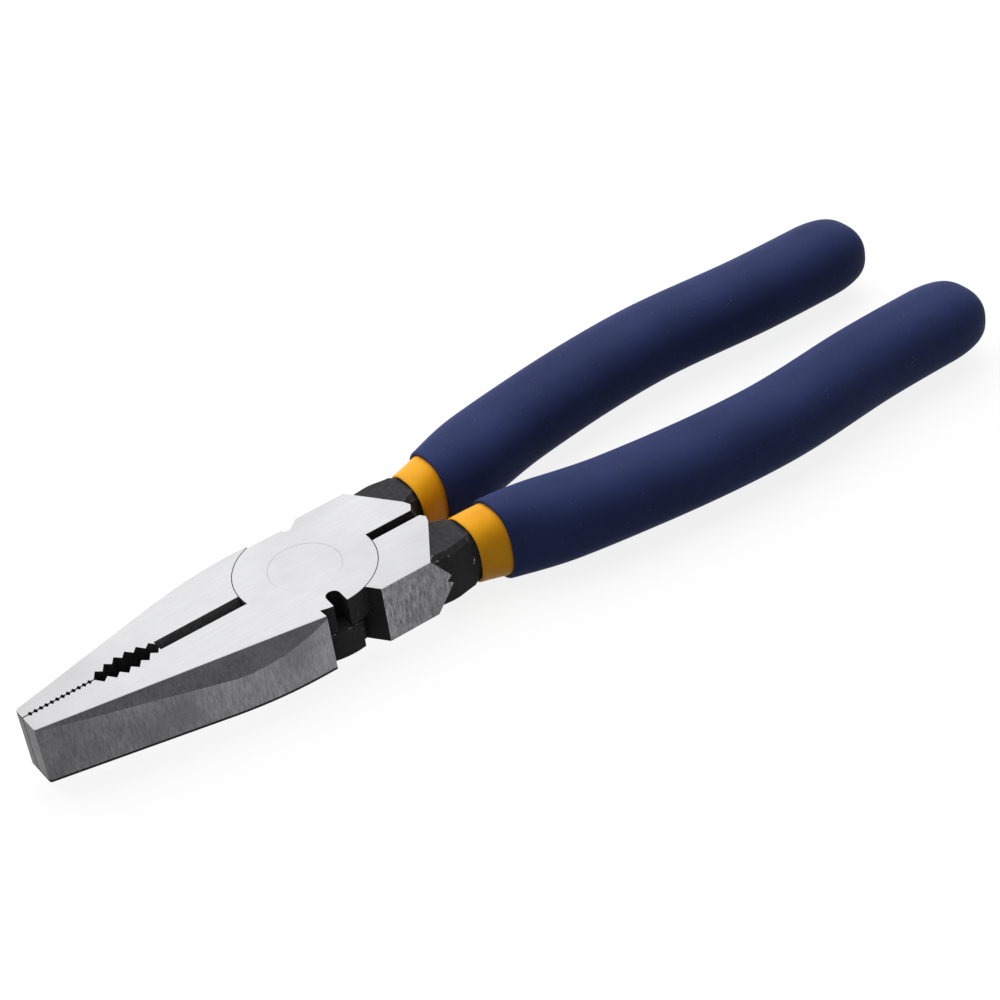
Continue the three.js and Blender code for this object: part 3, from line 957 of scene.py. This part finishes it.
# Closes the poles of a skin and turns its faces outwards
def closeSkin(mesh):
    bm = bmesh.new()
    bm.from_mesh(mesh)
    bmesh.ops.dissolve_degenerate(bm, edges=bm.edges, dist=sleeve["weld"])
    bmesh.ops.recalc_face_normals(bm, faces=bm.faces)
    for face in bm.faces:
        face.smooth = True
    bm.to_mesh(mesh)
    bm.free()
    mesh.set_sharp_from_angle(angle=math.radians(sleeve["sharpAngle"]))


def makeSleeve(side, part, stations, form, material, node):
    mesh = bpy.data.meshes.new(f"{side}_{part}")
    points = []
    for x, width, height in stations:
        y, spread = onHandle(x)
        center = Vector((x * mm, y * mm - sideShift(side), midPlane))
        points.append((ownFrame(side, center, True), width * spread * mm, height * mm))
    mesh.from_pydata([point for point, width, height in points], [], [])
    for name, place in (("halfWidth", 1), ("halfHeight", 2)):
        measure = mesh.attributes.new(name, "FLOAT", "POINT")
        measure.data.foreach_set("value", [point[place] for point in points])
    piece = addPiece(mesh)
    useTree(piece, skinTree, RingPoints=form["ring"], Roundness=form["roundness"], Material=material)
    closeSkin(piece.data)
    declare(piece, sides[side], f"{side}_{node}")
    return piece


for side in sides:
    collar = makeSleeve(
        side, "collar_sleeve", innerStations(), sleeve, yellowVinyl, "inner_sleeve",
    )
    cover = makeSleeve(side, "grip_sleeve", gripStations(), grip, navyVinyl, "outer_grip")
    print(collar.name, len(collar.data.polygons), cover.name, len(cover.data.polygons), "faces")


# Floor, world and lamps

stage = {
    "floorWidth": 2.5,
    "floorDrop": 0.2 * mm,     # below the grips
    "floorColor": (0.20, 0.20, 0.20, 1),
    "floorRoughness": 0.9,
    "floorGlow": 0.85,
    "white": (1, 1, 1, 1),
    "worldLight": 0.15,
}
lamps = {
    "overhead": {"place": (0.15, 0.80, 0.85), "size": 2.4, "power": 33.0, "inMirrors": False},
    "sheen": {"place": (0.50, 0.80, 0.72), "size": 0.7, "power": 0.4, "inMirrors": True},
    "fill": {"place": (-0.60, -0.75, 0.55), "size": 0.8, "power": 1.0, "inMirrors": False},
}


def makeFloor():
    bm = bmesh.new()
    half = stage["floorWidth"] / 2
    low = cadBox[0][2] - stage["floorDrop"]
    corners = ((-half, -half), (half, -half), (half, half), (-half, half))
    bm.faces.new([bm.verts.new((x, y, low)) for x, y in corners])
    mesh = bpy.data.meshes.new("floor")
    bm.to_mesh(mesh)
    bm.free()
    material, tree, shader = newMaterial("paleFloor")
    shader.inputs["Base Color"].default_value = stage["floorColor"]
    shader.inputs["Roughness"].default_value = stage["floorRoughness"]
    shader.inputs["Specular IOR Level"].default_value = 0.0
    shader.inputs["Emission Color"].default_value = stage["white"]
    seen = seenRays(tree)
    glow = addNode(tree, "ShaderNodeMath", operation="MULTIPLY")
    glow.inputs[1].default_value = stage["floorGlow"]
    tree.links.new(seen, glow.inputs[0])
    tree.links.new(glow.outputs[0], shader.inputs["Emission Strength"])
    mesh.materials.append(material)
    floor = bpy.data.objects.new("floor", mesh)
    bpy.context.scene.collection.objects.link(floor)


# 1 where the stage is seen, straight, in a mirror or through glass, and 0 where it only lights the tool
def seenRays(tree):
    path = tree.nodes.new("ShaderNodeLightPath")
    first = addNode(tree, "ShaderNodeMath", operation="MAXIMUM")
    second = addNode(tree, "ShaderNodeMath", operation="MAXIMUM")
    tree.links.new(path.outputs["Is Camera Ray"], first.inputs[0])
    tree.links.new(path.outputs["Is Glossy Ray"], first.inputs[1])
    tree.links.new(first.outputs[0], second.inputs[0])
    tree.links.new(path.outputs["Is Transmission Ray"], second.inputs[1])
    return second.outputs[0]


def makeWorld():
    world = bpy.data.worlds.new("studio")
    bpy.context.scene.world = world
    world.use_nodes = True
    tree = world.node_tree
    background = tree.nodes["Background"]
    background.inputs["Color"].default_value = stage["white"]
    strength = ramp(tree, seenRays(tree), 0, 1, stage["worldLight"], 1.0)
    tree.links.new(strength, background.inputs["Strength"])


def makeLamp(name):
    lamp = lamps[name]
    data = bpy.data.lights.new(name, "AREA")
    data.size = lamp["size"]
    data.energy = lamp["power"]
    light = bpy.data.objects.new(name, data)
    light.visible_glossy = lamp["inMirrors"]
    place = Vector(lamp["place"])
    aim = Vector(camera["aim"]) - place
    light.matrix_world = Matrix.Translation(place) @ aim.to_track_quat("-Z", "Y").to_matrix().to_4x4()
    bpy.context.scene.collection.objects.link(light)


makeFloor()
makeWorld()
for lampName in lamps:
    makeLamp(lampName)
bpy.context.scene.view_settings.view_transform = "Standard"
print("stage set")
